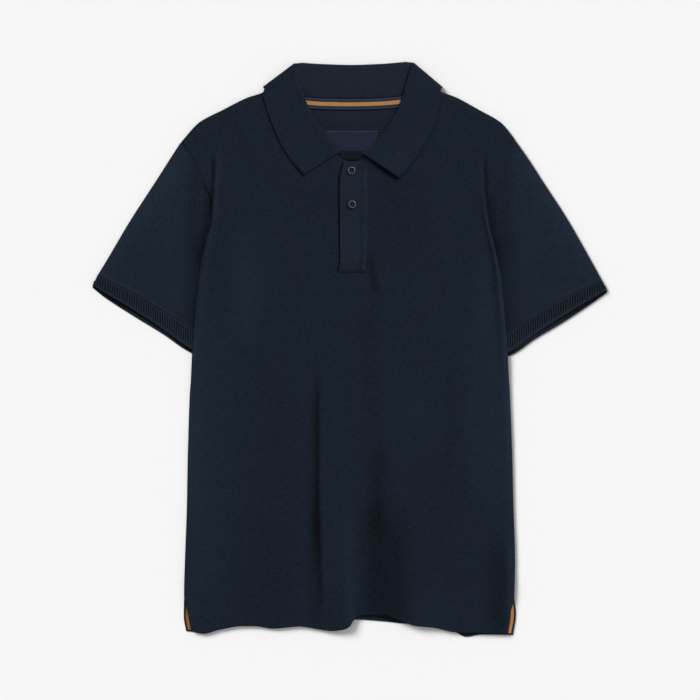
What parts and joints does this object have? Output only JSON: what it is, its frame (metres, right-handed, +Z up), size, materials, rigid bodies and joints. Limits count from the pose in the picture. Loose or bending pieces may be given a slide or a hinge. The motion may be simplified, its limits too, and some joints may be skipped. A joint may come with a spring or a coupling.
{
  "type": "polo shirt",
  "caption": "Short-sleeved polo shirt laid flat on its back, with a folded collar, a buttoned placket, ribbed cuffs and side vents.",
  "frame": {"origin": "centre of the bounding box on the surface that the shirt lies on", "axes": "+X towards the wearer's left sleeve, +Y from the hem to the collar, +Z up, out of the front"},
  "size_m": [0.6734, 0.7552, 0.0111],
  "materials": {
    "pique": "matt navy pique knit",
    "rib_knit": "matt navy rib knit",
    "collar_knit": "matt navy flat-knitted collar",
    "trim": "matt navy cotton",
    "label": "satin navy woven label, bare",
    "tape": "orange and navy striped woven tape",
    "button": "glossy dark navy"
  },
  "bodies": {
    "root": {"front": "pique", "back": "pique", "sleeve_right": "pique", "sleeve_left": "pique", "placket": "pique", "cuff_right": "rib_knit", "cuff_left": "rib_knit", "collar": "collar_knit", "collar_tab": "trim", "placket_under": "trim", "label": "label", "neck_tape": "tape", "vent_tape_right": "tape", "vent_tape_left": "tape", "button_1": "button", "button_2": "button"}
  },
  "joints": []
}
